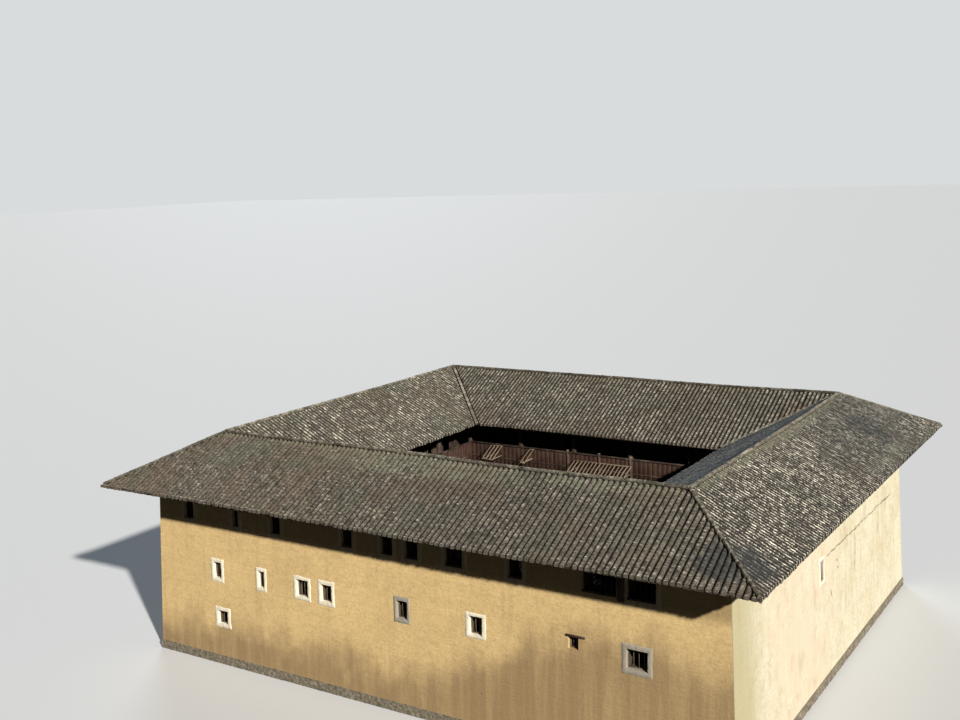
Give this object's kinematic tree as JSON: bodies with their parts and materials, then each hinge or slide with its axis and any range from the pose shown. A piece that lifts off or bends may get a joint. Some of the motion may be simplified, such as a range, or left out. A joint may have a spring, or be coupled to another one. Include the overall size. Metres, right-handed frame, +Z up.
{
  "type": "square tulou",
  "caption": "Three-storey rammed earth house on a rectangular plan, with tiled roofs of two slopes and timber galleries round an open courtyard.",
  "frame": {"origin": "on the ground at the centre of the plan", "axes": "+X along the front wall towards the right wall, +Y from the front wall to the gate wall, +Z up"},
  "size_m": [34.18, 29.72, 11.37],
  "materials": {
    "earth_wall": "rammed earth, matt",
    "pale_earth_wall": "rammed earth with a pale skim, matt",
    "stone": "rough cobbles and dressed stone, matt",
    "roof_tile": "weathered grey clay tile, matt",
    "ridge_tile": "weathered grey green clay tile, matt",
    "timber": "old unpainted softwood, matt",
    "gallery_boards": "red brown boards, matt",
    "gate_timber": "dark planks, satin",
    "weathered_timber": "sun bleached laths, matt"
  },
  "bodies": {
    "root": {"back_wall_left": "earth_wall", "back_wall_over_gate": "earth_wall", "back_wall_right": "earth_wall", "drying_rack_long": "weathered_timber", "drying_rack_middle": "weathered_timber", "drying_rack_short": "weathered_timber", "eave_frame_back": "timber", "eave_frame_front": "timber", "eave_frame_left": "timber", "eave_frame_right": "timber", "front_wall_ground": "earth_wall", "front_wall_second": "earth_wall", "front_wall_third": "earth_wall", "gallery_frame_back": "timber", "gallery_frame_front": "timber", "gallery_frame_left": "timber", "gallery_frame_right": "timber", "gate_leaf_left": "gate_timber", "gate_leaf_right": "gate_timber", "gate_surround": "stone", "ground_floor": "stone", "left_wall": "earth_wall", "ridge_and_hips": "ridge_tile", "right_wall": "pale_earth_wall", "roof_inner_back": "roof_tile", "roof_inner_front": "roof_tile", "roof_inner_left": "roof_tile", "roof_inner_right": "roof_tile", "roof_outer_back": "roof_tile", "roof_outer_front": "roof_tile", "roof_outer_left": "roof_tile", "roof_outer_right": "roof_tile", "room_front_back": "timber", "room_front_front": "timber", "room_front_left": "timber", "room_front_right": "timber", "second_balustrade": "gallery_boards", "second_floor": "timber", "second_gallery_deck": "timber", "stone_footing": "stone", "third_balustrade": "gallery_boards", "third_floor": "timber", "third_gallery_deck": "timber"}
  },
  "joints": []
}
